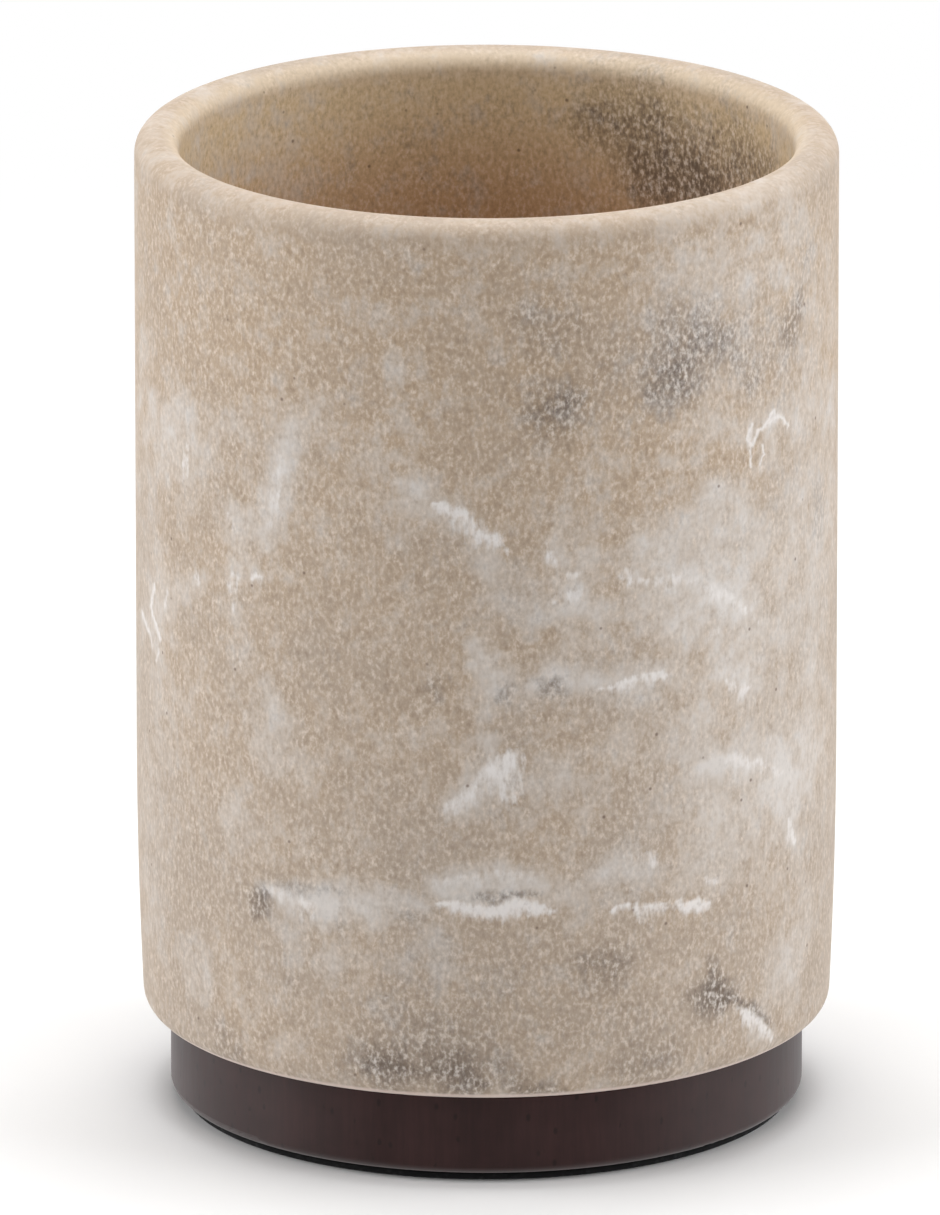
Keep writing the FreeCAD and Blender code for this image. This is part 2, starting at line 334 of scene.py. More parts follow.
# The same three kinds in the inner wall
INNER_STREAKS = (
    (1.0, 0.5, ((20, 78), (28, 75.5), (36, 75))),
    (0.9, 0.5, ((262, 62), (272, 60), (280, 60.5))),
)
INNER_VEILS = (
    (9.0, 0.25, ((218, 103), (235, 100), (250, 99))),
    (5.0, 0.5, ((14, 79), (28, 75.5), (40, 74))),
    (4.5, 0.5, ((256, 63), (272, 60), (286, 61))),
    (5.0, 0.4, ((150, 55), (164, 51))),
    (4.0, 0.35, ((84, 92), (92, 86))),
)
INNER_SMOKE = (
    (7.0, 0.8, ((112, 101), (126, 98), (140, 96), (150, 96))),
    (6.5, 0.6, ((143, 101), (150, 101.5), (161, 100))),
    (4.0, 0.75, ((132, 96), (140, 95), (149, 93))),
    (5.0, 0.5, ((300, 84), (312, 80))),
    (4.0, 0.5, ((196, 40), (206, 37))),
)

# How the strokes wander: the size of the swirls and how far they carry, in mm
VEIN_WANDER = ((14.0, 0.7), (5.0, 0.8), (1.9, 0.5))
WANDER_SEED = 4
# How many times its reach each kind fades over, and how far it hangs below its line
VEIN_SPREAD = {"streak": 1.7, "veil": 1.5, "smoke": 1.4}
VEIN_HANG = {"streak": 1.6, "veil": 1.2, "smoke": 1.0}
# The share of its width that a stroke loses towards its ends
VEIN_TAPER = 0.6

# Where the cup's tones and its painted light change: a distance from the axis, then heights
INSIDE_FADE = (35.4, 33.4)
GLOW_DEPTH_FADE = (104, 88)
LIP_LIGHT_FADE = (104, 107.5)
FOOT_HIGHLIGHT_FADE = (11.0, 10.6)
UPPER_FADE = (30, 100)


def tint(red, green, blue):
    """A colour given as it shows on a screen, 0 to 255, as the shaders take it."""
    shown = np.array((red, green, blue)) / 255
    light = np.where(shown <= 0.04045, shown / 12.92, ((shown + 0.055) / 1.055) ** 2.4)
    return (*light.tolist(), 1.0)


# Colours of the stone resin, with a painted glow inside the cup, painted light on the lip and a
# painted highlight along the foot, and the depth of its grain
SAND_WARM = tint(179, 157, 133)
SAND_GREY = tint(176, 160, 144)
# Painted glow of the inner wall, for light that passes through the resin: paler near the lip, darker
# deeper down
INSIDE_GLOW = tint(212, 190, 154)
INSIDE_GLOW_DEEP = tint(193, 159, 125)
# Painted light on the lip's inner rounding
LIP_LIGHT = tint(201, 185, 168)
PIT_BROWN = tint(118, 96, 76)
GRAIN_CREAM = tint(244, 231, 219)
VEIL_WHITE = tint(209, 203, 198)
STREAK_WHITE = tint(228, 223, 220)
SMOKE_GREY = tint(88, 78, 73)
SPECK_BROWN = tint(88, 62, 48)
# Painted highlight along the foot's rounding
FOOT_HIGHLIGHT = tint(230, 212, 204)
PIT_DEPTH = 0.48
CREST_DEPTH = 0.5

# Colours of the other finishes
WOOD_DARK = tint(46, 28, 27)
WOOD_BROWN = tint(55, 35, 34)
WOOD_PORE = tint(20, 13, 13)
FOAM_DARK = tint(20, 20, 21)
FOAM_GREY = tint(28, 28, 29)
FOAM_CELL = tint(16, 16, 17)
EPOXY_PALE = tint(206, 184, 140)
EPOXY_AMBER = tint(192, 166, 118)
EPOXY_BUBBLE = tint(232, 220, 196)
FILM_PALE = tint(220, 217, 208)
FILM_MILKY = tint(208, 203, 192)
FILM_AIR = tint(240, 238, 232)
PURE_WHITE = (1, 1, 1, 1)


# Outlines


def straight(start, end, step):
    """Points from start towards end, which is left to what follows."""
    count = max(1, round(math.dist(start, end) / step))
    return [tuple(a + (b - a) * i / count for a, b in zip(start, end)) for i in range(count)]


def rounded(centre, radius, first, last, step):
    """Points along an arc between two directions in degrees, its end left to what follows."""
    count = max(3, round(math.radians(abs(last - first)) * radius / step))
    turns = [math.radians(first + (last - first) * i / count) for i in range(count)]
    return [(centre[0] + radius * math.cos(t), centre[1] + radius * math.sin(t)) for t in turns]


def cup_outline():
    """From the middle of the spigot's end up the outside, over the lip and down to the floor."""
    low, high = (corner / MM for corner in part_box("cup"))
    radius, lip, spigot_end = high.x, high.z, low.z
    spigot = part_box("epoxy_bed")[1].x / MM
    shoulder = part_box("plinth")[1].z / MM
    bore = radius - WALL
    floor = shoulder + FLOOR_THICKNESS
    floor_bend = floor + FLOOR_ROUND
    floor_edge = bore - FLOOR_ROUND
    bend = shoulder + DRAW_IN_HEIGHT
    sweep = (DRAW_IN_HEIGHT**2 + DRAW_IN**2) / (2 * DRAW_IN)
    sweep_middle = (radius - sweep, bend)
    foot_height = shoulder + FOOT_ROUND
    foot = sweep_middle[0] + math.sqrt((sweep - FOOT_ROUND) ** 2 - (bend - foot_height) ** 2)
    foot_end = math.degrees(math.asin((foot_height - bend) / (sweep - FOOT_ROUND)))
    lip_height = lip - LIP_ROUND
    return [
        *straight((0, spigot_end), (spigot, spigot_end), SPIGOT_END_STEP),
        *straight((spigot, spigot_end), (spigot, shoulder), SPIGOT_SIDE_STEP),
        *straight((spigot, shoulder), (foot, shoulder), SHOULDER_STEP),
        *rounded((foot, foot_height), FOOT_ROUND, -90, foot_end, FOOT_STEP),
        *rounded(sweep_middle, sweep, foot_end, 0, WALL_STEP),
        *straight((radius, bend), (radius, lip_height), WALL_STEP),
        *rounded((radius - LIP_ROUND, lip_height), LIP_ROUND, 0, 90, LIP_STEP),
        *straight((radius - LIP_ROUND, lip), (bore + LIP_ROUND, lip), LIP_TOP_STEP),
        *rounded((bore + LIP_ROUND, lip_height), LIP_ROUND, 90, 180, LIP_STEP),
        *straight((bore, lip_height), (bore, FINE_INSIDE_FROM), INSIDE_STEP),
        *straight((bore, FINE_INSIDE_FROM), (bore, floor_bend), DEEP_INSIDE_STEP),
        *rounded((floor_edge, floor_bend), FLOOR_ROUND, 0, -90, FLOOR_EDGE_STEP),
        *straight((floor_edge, floor), (0, floor), FLOOR_STEP),
        (0, floor),
    ]


def pad_outline():
    """A die-cut disc with softened edges."""
    low, high = (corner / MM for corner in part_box("foam_pad"))
    radius, bottom, top = high.x, low.z, high.z
    edge = radius - PAD_EDGE_ROUND
    return [
        *straight((0, bottom), (edge, bottom), PAD_STEP),
        *rounded((edge, bottom + PAD_EDGE_ROUND), PAD_EDGE_ROUND, -90, 0, PAD_EDGE_STEP),
        *rounded((edge, top - PAD_EDGE_ROUND), PAD_EDGE_ROUND, 0, 90, PAD_EDGE_STEP),
        *straight((edge, top), (0, top), PAD_STEP),
        (0, top),
    ]


# Turning an outline round the upright axis


def node(tree, kind, inputs=None, **settings):
    """Add a node, with its settings and with values or links for its inputs."""
    made = tree.nodes.new(kind)
    for name, setting in settings.items():
        setattr(made, name, setting)
    for socket, given in (inputs or {}).items():
        if isinstance(given, bpy.types.NodeSocket):
            tree.links.new(given, made.inputs[socket])
        else:
            made.inputs[socket].default_value = given
    return made


def math_node(tree, operation, first, second=0.0, **settings):
    inputs = {0: first, 1: second}
    return node(tree, "ShaderNodeMath", inputs, operation=operation, **settings).outputs[0]


def new_group(name, kind, inputs, outputs):
    """A node group with named inputs and outputs, and the sockets that bring in its inputs."""
    tree = bpy.data.node_groups.new(name, kind)
    for side, sockets in (("INPUT", inputs), ("OUTPUT", outputs)):
        for label, holds in sockets.items():
            tree.interface.new_socket(label, in_out=side, socket_type=f"NodeSocket{holds}")
    return tree, node(tree, "NodeGroupInput").outputs


def turning_tree():
    """Geometry nodes that turn the points of an outline into a closed skin with its own UV map."""
    tree, given = new_group(
        "turned round the axis",
        "GeometryNodeTree",
        {"Outline": "Geometry", "Segments": "Int", "Finish": "Material"},
        {"Piece": "Geometry"},
    )
    rows = node(
        tree, "GeometryNodeAttributeDomainSize", {"Geometry": given["Outline"]}, component="MESH"
    ).outputs["Point Count"]
    columns = math_node(tree, "ADD", given["Segments"], 1)
    grid = node(tree, "GeometryNodeMeshGrid", {"Vertices X": columns, "Vertices Y": rows})
    index = node(tree, "GeometryNodeInputIndex").outputs["Index"]
    row = math_node(tree, "MODULO", index, rows)
    rows_done = math_node(tree, "DIVIDE", math_node(tree, "ADD", index, 0.5), rows)
    column = math_node(tree, "FLOOR", rows_done)
    round_share = math_node(tree, "DIVIDE", column, given["Segments"])
    along_share = math_node(tree, "DIVIDE", row, math_node(tree, "SUBTRACT", rows, 1))
    place = node(tree, "ShaderNodeCombineXYZ", {"X": round_share, "Y": along_share, "Z": row})
    kept = node(tree, "GeometryNodeCaptureAttribute", {"Geometry": grid.outputs["Mesh"]})
    kept.domain = "POINT"
    kept.capture_items.new("VECTOR", "Place")
    tree.links.new(place.outputs["Vector"], kept.inputs["Place"])
    parts = node(tree, "ShaderNodeSeparateXYZ", {"Vector": kept.outputs["Place"]}).outputs
    drawn = node(
        tree,
        "GeometryNodeSampleIndex",
        {
            "Geometry": given["Outline"],
            "Value": node(tree, "GeometryNodeInputPosition").outputs["Position"],
            "Index": parts["Z"],
        },
        data_type="FLOAT_VECTOR",
        domain="POINT",
    )
    radius_height = node(tree, "ShaderNodeSeparateXYZ", {"Vector": drawn.outputs["Value"]}).outputs
    turn = math_node(tree, "MULTIPLY", parts["X"], math.tau)
    ahead = math_node(tree, "MULTIPLY", math_node(tree, "COSINE", turn), -1.0)
    turned = node(
        tree,
        "ShaderNodeCombineXYZ",
        {
            "X": math_node(tree, "MULTIPLY", radius_height["X"], math_node(tree, "SINE", turn)),
            "Y": math_node(tree, "MULTIPLY", radius_height["X"], ahead),
            "Z": radius_height["Z"],
        },
    )
    shaped = node(
        tree,
        "GeometryNodeSetPosition",
        {"Geometry": kept.outputs["Geometry"], "Position": turned.outputs["Vector"]},
    )
    mapped = node(
        tree,
        "GeometryNodeStoreNamedAttribute",
        {"Geometry": shaped.outputs["Geometry"], "Name": "OFBake", "Value": kept.outputs["Place"]},
        data_type="FLOAT2",
        domain="CORNER",
    )
    closed = node(
        tree,
        "GeometryNodeMergeByDistance",
        {"Geometry": mapped.outputs["Geometry"], "Distance": SEAM_GAP * MM},
    )
    smooth = node(tree, "GeometryNodeSetShadeSmooth", {"Geometry": closed.outputs["Geometry"]})
    real = node(tree, "GeometryNodeRealizeInstances", {"Geometry": smooth.outputs["Geometry"]})
    finished = node(
        tree,
        "GeometryNodeSetMaterial",
        {"Geometry": real.outputs["Geometry"], "Material": given["Finish"]},
    )
    node(tree, "NodeGroupOutput", {"Piece": finished.outputs["Geometry"]})
    return tree


def turned_piece(name, outline, segments, finish):
    """A plain mesh object, turned from an outline of (radius, height) points."""
    drawn = bpy.data.meshes.new(f"{name}_outline")
    drawn.from_pydata([(radius * MM, 0, height * MM) for radius, height in outline], [], [])
    piece = bpy.data.objects.new(name, drawn)
    bpy.context.scene.collection.objects.link(piece)
    turning = piece.modifiers.new("turning", "NODES")
    turning.node_group = turned_tree
    settings = {"Segments": segments, "Finish": finish}
    for socket in turned_tree.interface.items_tree:
        if socket.name in settings:
            turning[socket.identifier] = settings[socket.name]
    view = bpy.context.evaluated_depsgraph_get()
    turned = piece.evaluated_get(view)
    mesh = bpy.data.meshes.new_from_object(turned, preserve_all_data_layers=True, depsgraph=view)
    mesh.materials.pop(index=0)  # the empty slot that a fresh grid has
    piece.modifiers.remove(turning)
    piece.data = mesh
    mesh.name = name
    bpy.data.meshes.remove(drawn)
    return piece


# Marbling


def vein(angle, height, stroke, radius, spread, hang):
    """How strongly a stroke marks each point: its strength on the line, then fading to nothing.

    With a hang above 1 it fades later below its line than above it, as a vein that ran while the
    resin set.
    """
    reach, strength, line = stroke
    reach = reach * spread
    line = np.array(line, float)
    middle = line[:, 0].mean()
    to_length = math.radians(1) * radius
    points = np.stack([((angle - middle + 180) % 360 - 180) * to_length, height], -1)
    corners = np.stack([(line[:, 0] - middle) * to_length, line[:, 1]], -1)
    lengths = np.linalg.norm(np.diff(corners, axis=0), axis=1)
    mark = np.zeros(len(points))
    for i, run in enumerate(lengths):
        ahead = (corners[i + 1] - corners[i]) / run
        along = np.clip((points - corners[i]) @ ahead, 0, run)
        aside = points - corners[i] - along[:, None] * ahead
        aside[:, 1] *= np.where(aside[:, 1] < 0, 1 / hang, hang)
        off = np.linalg.norm(aside, axis=1)
        done = (lengths[:i].sum() + along) / lengths.sum()
        width = reach * (1 - VEIN_TAPER * np.abs(2 * done - 1) ** 3)
        mark = np.maximum(mark, strength * np.clip(1 - off / width, 0, 1))
    return mark


def marble(piece):
    """Write where the white streaks, pale veils and grey smoke lie in the cup's wall."""
    mesh = piece.data
    points = np.zeros(len(mesh.vertices) * 3, np.float32)
    mesh.vertices.foreach_get("co", points)
    points = points.reshape(-1, 3) / MM
    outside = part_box("cup")[1].x / MM
    bore = outside - WALL
    across = np.hypot(points[:, 0], points[:, 1])
    angle = np.degrees(np.arctan2(points[:, 0], -points[:, 1]))
    height = points[:, 2].astype(float)
    noise.seed_set(WANDER_SEED)
    for scale, reach in VEIN_WANDER:
        shift = np.array([noise.noise_vector(Vector(point) / scale) for point in points.tolist()])
        angle = angle + np.degrees(shift[:, 0] * reach / outside)
        height = height + shift[:, 2] * reach
    inside = across < (outside + bore) / 2
    for name, outer, inner in (
        ("streak", STREAKS, INNER_STREAKS),
        ("veil", VEILS, INNER_VEILS),
        ("smoke", SMOKE, INNER_SMOKE),
    ):
        field = np.zeros(len(points))
        for part, strokes, radius in ((~inside, outer, outside), (inside, inner, bore)):
            clear = np.ones(part.sum())
            for stroke in strokes:
                place = angle[part], height[part]
                clear *= 1 - vein(*place, stroke, radius, VEIN_SPREAD[name], VEIN_HANG[name])
            field[part] = 1 - clear
        written = mesh.attributes.new(name, "FLOAT", "POINT")
        written.data.foreach_set("value", field.astype(np.float32))


# Shader parts


def blend_colours(tree, factor, first, second, mode="MIX"):
    inputs = {0: factor, 6: first, 7: second}
    return node(tree, "ShaderNodeMix", inputs, data_type="RGBA", blend_type=mode).outputs[2]


def overlay(tree, body, mask, amount, colour):
    """Lay a colour over the body where a mask shows, at most by the amount."""
    return blend_colours(tree, math_node(tree, "MULTIPLY", mask, amount), body, colour)


def between(tree, value, low, high, start=0.0, end=1.0):
    """A smooth step from start to end as value goes from low to high."""
    limits = {"Value": value, "From Min": low, "From Max": high, "To Min": start, "To Max": end}
    return node(tree, "ShaderNodeMapRange", limits, interpolation_type="SMOOTHSTEP").outputs["Result"]


def noise_at(tree, place, scale, detail=2.0, roughness=0.5):
    inputs = {"Vector": place, "Scale": scale, "Detail": detail, "Roughness": roughness}
    return node(tree, "ShaderNodeTexNoise", inputs).outputs["Fac"]


def vector_node(tree, operation, first, second=(0.0, 0.0, 0.0)):
    return node(tree, "ShaderNodeVectorMath", {0: first, 1: second}, operation=operation).outputs


def stretched(tree, place, scale):
    return vector_node(tree, "MULTIPLY", place, scale)["Vector"]


def share(tree, value, low, high, start=0.0, end=1.0, clamp=True):
    """A straight run from start to end as value goes from low to high."""
    limits = {"Value": value, "From Min": low, "From Max": high, "To Min": start, "To Max": end}
    return node(tree, "ShaderNodeMapRange", limits, clamp=clamp).outputs["Result"]


def swing(tree, value):
    """A noise value as a swing either side of nothing, mostly within 1."""
    return share(tree, value, 0.3, 0.7, -1.0, 1.0, clamp=False)


def weighted(tree, *parts, base=0.0):
    """The base plus the sum of values, each times its weight."""
    total = base
    for value, weight in parts:
        inputs = {0: value, 1: weight, 2: total}
        total = node(tree, "ShaderNodeMath", inputs, operation="MULTIPLY_ADD").outputs[0]
    return total


def attribute(tree, name):
    return node(tree, "ShaderNodeAttribute", attribute_name=name).outputs["Fac"]


def grain_group():
    """Scattered grains: each cell of a fine foam is picked by chance as pale, dark or neither."""
    tree, given = new_group(
        "scattered grains",
        "ShaderNodeTree",
        {"Vector": "Vector", "Scale": "Float", "Pale Share": "Float", "Dark Share": "Float"},
        {"Pale": "Float", "Dark": "Float"},
    )
    cells = node(tree, "ShaderNodeTexVoronoi", {"Vector": given["Vector"], "Scale": given["Scale"]})
    chance = node(tree, "ShaderNodeSeparateColor", {"Color": cells.outputs["Color"]}).outputs
    core = between(tree, cells.outputs["Distance"], 0.62, 0.2)
    pale = math_node(tree, "LESS_THAN", chance["Red"], given["Pale Share"])
    dark = math_node(tree, "LESS_THAN", chance["Green"], given["Dark Share"])
    masks = {
        "Pale": math_node(tree, "MULTIPLY", core, pale),
        "Dark": math_node(tree, "MULTIPLY", core, dark),
    }
    node(tree, "NodeGroupOutput", masks)
    return tree


def mottle_group():
    """Broad, soft changes of tone between two colours."""
    tree, given = new_group(
        "soft mottling",
        "ShaderNodeTree",
        {"Vector": "Vector", "Scale": "Float", "First": "Color", "Second": "Color"},
        {"Color": "Color"},
    )
    tone = between(tree, noise_at(tree, given["Vector"], given["Scale"], 3.0, 0.55), 0.3, 0.7)
    mixed = blend_colours(tree, tone, given["First"], given["Second"])
    node(tree, "NodeGroupOutput", {"Color": mixed})
    return tree


def thin_line_group():
    """A straight piece of a thin line, drawn over the marks before it.

    It has its strength on the line and nothing at half its width.
    """
    tree, given = new_group(
        "thin line",
        "ShaderNodeTree",
        {
            "Place": "Vector",
            "Start": "Vector",
            "Run": "Vector",
            "Half Width": "Float",
            "Strength": "Float",
            "Before": "Float",
        },
        {"Mark": "Float"},
    )
    reached = vector_node(tree, "SUBTRACT", given["Place"], given["Start"])["Vector"]
    ahead = vector_node(tree, "DOT_PRODUCT", reached, given["Run"])["Value"]
    whole = vector_node(tree, "DOT_PRODUCT", given["Run"], given["Run"])["Value"]
    along = math_node(tree, "DIVIDE", ahead, whole, use_clamp=True)
    scaled = {0: given["Run"], "Scale": along}
    nearest = node(tree, "ShaderNodeVectorMath", scaled, operation="SCALE").outputs["Vector"]
    off = vector_node(tree, "DISTANCE", reached, nearest)["Value"]
    mark = share(tree, off, given["Half Width"], 0.0, 0.0, given["Strength"])
    node(tree, "NodeGroupOutput", {"Mark": math_node(tree, "MAXIMUM", mark, given["Before"])})
    return tree


def thin_lines(tree, place, height):
    """The thin lines of the outer wall, drawn on the wall unrolled, with a slight waver."""
    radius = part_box("cup")[1].x / MM
    parts = node(tree, "ShaderNodeSeparateXYZ", {"Vector": place}).outputs
    turn = math_node(tree, "ARCTAN2", parts["X"], math_node(tree, "MULTIPLY", parts["Y"], -1.0))
    around = math_node(tree, "MULTIPLY", turn, radius)
    unrolled = node(tree, "ShaderNodeCombineXYZ", {"X": around, "Y": height}).outputs["Vector"]
    waver = node(tree, "ShaderNodeTexNoise", {"Vector": place, "Scale": 1.1}).outputs["Color"]
    waver = vector_node(tree, "SUBTRACT", waver, (0.5, 0.5, 0.5))["Vector"]
    waver = vector_node(tree, "MULTIPLY", waver, (0.8, 0.8, 0.0))["Vector"]
    unrolled = vector_node(tree, "ADD", unrolled, waver)["Vector"]
    marked = 0.0
    for half_width, strength, line in THIN_LINES:
        corners = [Vector((math.radians(degrees) * radius, up, 0)) for degrees, up in line]
        for start, end in zip(corners, corners[1:]):
            inputs = {
                "Place": unrolled,
                "Start": start,
                "Run": end - start,
                "Half Width": half_width,
                "Strength": strength,
                "Before": marked,
            }
            marked = node(tree, "ShaderNodeGroup", inputs, node_tree=thin_tree).outputs["Mark"]
    return marked


def new_finish(name):
    """A material with its shader and the place on the piece in millimetres."""
    material = bpy.data.materials.new(name)
    material.use_nodes = True
    tree = material.node_tree
    shader = tree.nodes["Principled BSDF"]
    where = node(tree, "ShaderNodeTexCoord").outputs["Object"]
    place = stretched(tree, where, (1 / MM, 1 / MM, 1 / MM))
    return material, tree, shader, place


def grains(tree, place, scale, pale, dark):
    inputs = {"Vector": place, "Scale": scale, "Pale Share": pale, "Dark Share": dark}
    return node(tree, "ShaderNodeGroup", inputs, node_tree=grain_tree).outputs


def mottle(tree, place, scale, first, second):
    inputs = {"Vector": place, "Scale": scale, "First": first, "Second": second}
    return node(tree, "ShaderNodeGroup", inputs, node_tree=mottle_tree).outputs["Color"]


def skin(tree, shader, colour, roughness):
    """Give a finish its colour and its roughness."""
    tree.links.new(colour, shader.inputs["Base Color"])
    tree.links.new(roughness, shader.inputs["Roughness"])


def bump(tree, shader, height, distance, strength):
    inputs = {"Height": height, "Distance": distance * MM, "Strength": strength}
    tree.links.new(node(tree, "ShaderNodeBump", inputs).outputs["Normal"], shader.inputs["Normal"])


# Finishes


def stone_resin():
    """Sand-coloured resin with cream and brown grains, white veins and grey smoke, and painted light:
    a glow inside the cup, a paler lip and a highlight along the foot.
    """
    material, tree, shader, place = new_finish("marbled_stone")
    broad = swing(tree, noise_at(tree, place, 0.08, 4.0, 0.6))
    cloudy = swing(tree, noise_at(tree, place, 0.32, 5.0, 0.62))
    patchy = swing(tree, noise_at(tree, place, 0.5, 2.0))
    fibres = swing(tree, noise_at(tree, stretched(tree, place, (1, 1, 0.4)), 1.5, 3.0, 0.6))
    grain = swing(tree, noise_at(tree, stretched(tree, place, (1, 1, 0.7)), 2.1, 2.0, 0.6))
    across = vector_node(tree, "LENGTH", stretched(tree, place, (1, 1, 0)))["Value"]
    height = node(tree, "ShaderNodeSeparateXYZ", {"Vector": place}).outputs["Z"]

    inside = between(tree, across, *INSIDE_FADE)
    veil = attribute(tree, "veil")
    veil = weighted(tree, (veil, 1.0), (cloudy, 0.32), (fibres, 0.12), (broad, 0.12))
    veil = share(tree, weighted(tree, (veil, 1.0), (inside, -0.1)), -0.08, 0.78, 0.0, 0.95)
    core = attribute(tree, "streak")
    torn = between(tree, weighted(tree, (core, 1.0), (fibres, 0.28), (cloudy, 0.14)), 0.18, 0.9)
    streak = math_node(tree, "MULTIPLY", torn, share(tree, core, 0.0, 0.25, 0.0, 0.92))
    thin = weighted(tree, (thin_lines(tree, place, height), 1.0), (fibres, 0.12), (inside, -1.0))
    streak = math_node(tree, "MAXIMUM", streak, between(tree, thin, 0.1, 0.8, 0.0, 0.85))
    smoke = attribute(tree, "smoke")
    smoke = weighted(tree, (smoke, 1.0), (cloudy, 0.2), (fibres, 0.1), (broad, -0.12))
    smoke = share(tree, smoke, 0.05, 0.95)
    # Painted glow inside: darker deeper down, where less light comes through the wall
    depth = between(tree, height, *GLOW_DEPTH_FADE)
    # Painted light on the lip: its inner rounding is made paler, and the lip less warm and less
    # grainy, as where the top light washes over it
    lip = between(tree, height, *LIP_LIGHT_FADE, 0.0, 0.6)
    # Painted highlight: where the foot's rounding catches the floor's light
    foot = between(tree, height, *FOOT_HIGHLIGHT_FADE, 0.0, 0.7)
    upper = between(tree, height, *UPPER_FADE)
    warm = weighted(tree, (upper, 0.6), (broad, 0.5), (cloudy, 0.3), (lip, -0.8), base=0.35)

    body = blend_colours(tree, warm, SAND_GREY, SAND_WARM)
    # Painted light: the inner wall gets a painted glow of light through the resin, paler at the lip
    # and darker deeper down
    within = blend_colours(tree, lip, INSIDE_GLOW, LIP_LIGHT)
    within = blend_colours(tree, depth, within, INSIDE_GLOW_DEEP)
    body = blend_colours(tree, inside, body, within)
    body = blend_colours(tree, veil, body, VEIL_WHITE)
    gaps = math_node(tree, "MULTIPLY", smoke, share(tree, grain, 1.0, -0.8, 0.25, 0.97))
    body = blend_colours(tree, gaps, body, SMOKE_GREY)
    body = blend_colours(tree, streak, body, STREAK_WHITE)
    coarse = weighted(tree, (smoke, 0.8), (warm, 0.1), (patchy, 0.25), (lip, -0.8), base=0.95)
    coarse = weighted(tree, (coarse, 1.0), (veil, -0.75), (streak, -0.3))
    pits = math_node(tree, "MULTIPLY", share(tree, grain, 0.0, -1.6), coarse)
    crests = math_node(tree, "MULTIPLY", share(tree, grain, 0.05, 1.5), coarse)
    glint = blend_colours(tree, smoke, GRAIN_CREAM, STREAK_WHITE)
    body = overlay(tree, body, pits, PIT_DEPTH, PIT_BROWN)
    body = overlay(tree, body, crests, CREST_DEPTH, glint)
    # Paint the highlight along the foot's rounding
    body = blend_colours(tree, foot, body, FOOT_HIGHLIGHT)
    specks = node(tree, "ShaderNodeTexVoronoi", {"Vector": place, "Scale": 0.25}).outputs["Distance"]
    body = blend_colours(tree, between(tree, specks, 0.07, 0.02, 0.0, 0.65), body, SPECK_BROWN)
    skin(tree, shader, body, share(tree, grain, -1.0, 1.0, 0.5, 0.62))
    shader.inputs["Specular IOR Level"].default_value = 0.4
    bump(tree, shader, grain, 0.03, 0.1)
    return material


def stained_wood():
    """Dark espresso stain over a fine upright grain, under a satin lacquer."""
    material, tree, shader, place = new_finish("espresso_wood")
    along = stretched(tree, place, (1, 1, 0.1))
    lines = noise_at(tree, along, 1.5, 4.0, 0.6)
    body = mottle(tree, place, 0.16, WOOD_DARK, WOOD_BROWN)
    body = blend_colours(tree, 1.0, body, between(tree, lines, 0.3, 0.75, 0.85, 1.12), "MULTIPLY")
    pores = grains(tree, stretched(tree, place, (1, 1, 0.6)), 1.7, 0.04, 0.04)
    body = overlay(tree, body, pores["Dark"], 0.6, WOOD_PORE)
    skin(tree, shader, body, between(tree, lines, 0.25, 0.75, 0.5, 0.6))
    shader.inputs["Specular IOR Level"].default_value = 0.17
    edge = node(tree, "ShaderNodeLayerWeight", {"Blend": 0.5}).outputs["Facing"]
    tree.links.new(share(tree, edge, 0.1, 0.3, 0.0, 0.34), shader.inputs["Coat Weight"])
    shader.inputs["Coat Roughness"].default_value = 0.34
    bump(tree, shader, math_node(tree, "SUBTRACT", lines, pores["Dark"]), 0.05, 0.12)
    return material


def black_foam():
    """Closed-cell foam with a fine pebbled skin."""
    material, tree, shader, place = new_finish("black_foam")
    cells = grains(tree, place, 1.6, 0.5, 0.3)
    body = mottle(tree, place, 0.3, FOAM_DARK, FOAM_GREY)
    body = overlay(tree, body, cells["Dark"], 0.6, FOAM_CELL)
    skin(tree, shader, body, between(tree, cells["Pale"], 0.0, 1.0, 0.95, 0.8))
    shader.inputs["Specular IOR Level"].default_value = 0.2
    bump(tree, shader, math_node(tree, "SUBTRACT", cells["Pale"], cells["Dark"]), 0.12, 0.5)
    return material


def set_epoxy():
    """Amber epoxy, set with a few small bubbles."""
    material, tree, shader, place = new_finish("set_epoxy")
    bubbles = grains(tree, place, 0.7, 0.12, 0.1)
    body = mottle(tree, place, 0.15, EPOXY_PALE, EPOXY_AMBER)
    body = overlay(tree, body, bubbles["Pale"], 0.6, EPOXY_BUBBLE)
    skin(tree, shader, body, between(tree, bubbles["Dark"], 0.0, 1.0, 0.18, 0.4))
    bump(tree, shader, bubbles["Pale"], 0.05, 0.2)
    return material


def sticky_film():
    """Milky adhesive film with trapped air."""
    material, tree, shader, place = new_finish("sticky_film")
    air = grains(tree, place, 0.5, 0.1, 0.06)
    body = mottle(tree, place, 0.12, FILM_PALE, FILM_MILKY)
    body = overlay(tree, body, air["Pale"], 0.5, FILM_AIR)
    skin(tree, shader, body, between(tree, air["Dark"], 0.0, 1.0, 0.32, 0.5))
    return material


# The studio


def studio_world():
    """A faint fill from all round, in a room that shows as plain white."""
    world = bpy.data.worlds.new("studio")
    world.use_nodes = True
    tree = world.node_tree
    lit = tree.nodes["Background"]
    lit.inputs["Color"].default_value = PURE_WHITE
    lit.inputs["Strength"].default_value = FILL_LIGHT
    white = node(tree, "ShaderNodeBackground", {"Strength": 1.0, "Color": PURE_WHITE})
    rays = node(tree, "ShaderNodeLightPath").outputs
    seen = math_node(tree, "MAXIMUM", rays["Is Camera Ray"], rays["Is Glossy Ray"])
    shown = node(
        tree,
        "ShaderNodeMixShader",
        {0: seen, 1: lit.outputs["Background"], 2: white.outputs["Background"]},
    )
    tree.links.new(shown.outputs["Shader"], tree.nodes["World Output"].inputs["Surface"])
    bpy.context.scene.world = world


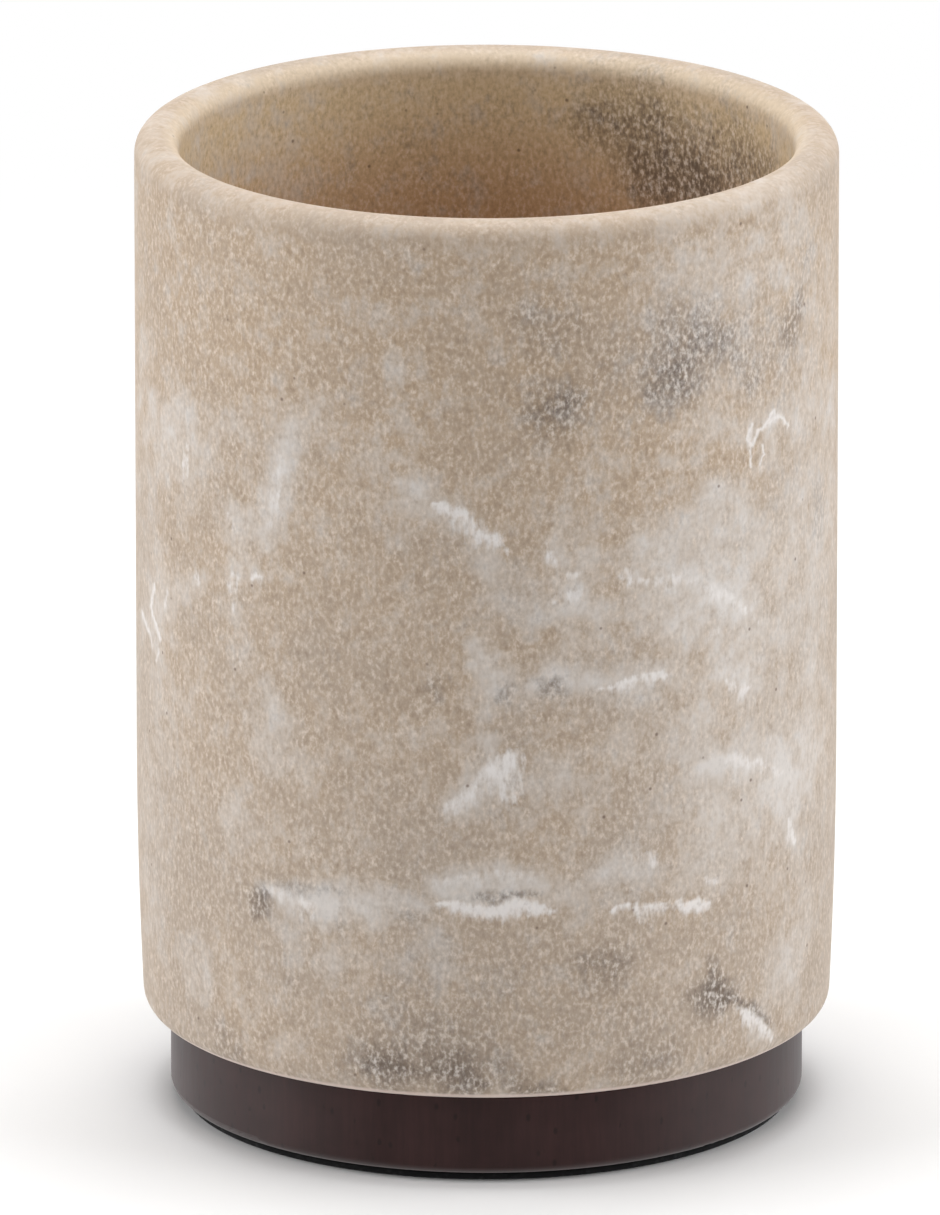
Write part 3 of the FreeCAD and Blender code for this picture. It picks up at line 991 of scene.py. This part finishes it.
def soft_lamp(name, place, watts):
    """A square soft box that points at the tumbler and isn't seen itself."""
    light = bpy.data.lights.new(name, "AREA")
    light.shape = "SQUARE"
    light.size = LAMP_SIZE
    light.energy = watts
    lamp = bpy.data.objects.new(name, light)
    lamp.location = place
    towards = Vector(LAMP_AIM) - Vector(place)
    lamp.rotation_euler = towards.to_track_quat("-Z", "Y").to_euler()
    lamp.visible_camera = False
    bpy.context.scene.collection.objects.link(lamp)


def photo_camera():
    camera = bpy.data.objects.new("photo_camera", bpy.data.cameras.new("photo_camera"))
    camera.data.lens = VIEW_LENS
    camera.data.sensor_width = VIEW_SENSOR
    camera.data.clip_end = VIEW_FAR
    rise = math.radians(VIEW_RISE)
    away = Vector((0, -math.cos(rise), math.sin(rise)))
    camera.location = (Vector(VIEW_AIM) + away * VIEW_DISTANCE) * MM
    camera.rotation_euler = (math.pi / 2 - rise, 0, 0)
    bpy.context.scene.collection.objects.link(camera)
    bpy.context.scene.camera = camera


def pale_floor():
    """A plain matt floor that keeps the shadow, and is white in gloss and away from the tumbler."""
    material = bpy.data.materials.new("pale_floor")
    material.use_nodes = True
    tree = material.node_tree
    matt = node(tree, "ShaderNodeBsdfDiffuse", {"Color": (*[FLOOR_GREY] * 3, 1)})
    white = node(tree, "ShaderNodeEmission", {"Color": PURE_WHITE, "Strength": 1.0})
    where = node(tree, "ShaderNodeTexCoord").outputs["Object"]
    away = between(tree, vector_node(tree, "LENGTH", where)["Value"], *WHITE_FROM)
    rays = node(tree, "ShaderNodeLightPath").outputs
    seen = math_node(tree, "MULTIPLY", rays["Is Camera Ray"], away)
    seen = math_node(tree, "MAXIMUM", seen, rays["Is Glossy Ray"])
    inputs = {0: seen, 1: matt.outputs["BSDF"], 2: white.outputs["Emission"]}
    shown = node(tree, "ShaderNodeMixShader", inputs)
    tree.links.new(shown.outputs["Shader"], tree.nodes["Material Output"].inputs["Surface"])
    return material


def lay_floor():
    corners = [(x * FLOOR_HALF, y * FLOOR_HALF, 0) for x, y in ((-1, -1), (1, -1), (1, 1), (-1, 1))]
    mesh = bpy.data.meshes.new("floor")
    mesh.from_pydata(corners, [], [(0, 1, 2, 3)])
    mesh.materials.append(pale_floor())
    floor = bpy.data.objects.new("floor", mesh)
    bpy.context.scene.collection.objects.link(floor)


grain_tree = grain_group()
mottle_tree = mottle_group()
thin_tree = thin_line_group()
turned_tree = turning_tree()

cup = turned_piece("marbled_cup", cup_outline(), CUP_SEGMENTS, stone_resin())
marble(cup)
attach(cup, "root")
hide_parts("cup")

pad = turned_piece("foam_disc", pad_outline(), PAD_SEGMENTS, black_foam())
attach(pad, "root")
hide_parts("foam_pad")

for node_name, finish in (
    ("plinth", stained_wood()),
    ("epoxy_bed", set_epoxy()),
    ("pad_film", sticky_film()),
):
    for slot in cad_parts[node_name].material_slots:
        slot.material = finish

photo_camera()
lay_floor()
studio_world()
for name, place, watts in LAMPS:
    soft_lamp(name, place, watts)
bpy.context.scene.view_settings.view_transform = "Standard"
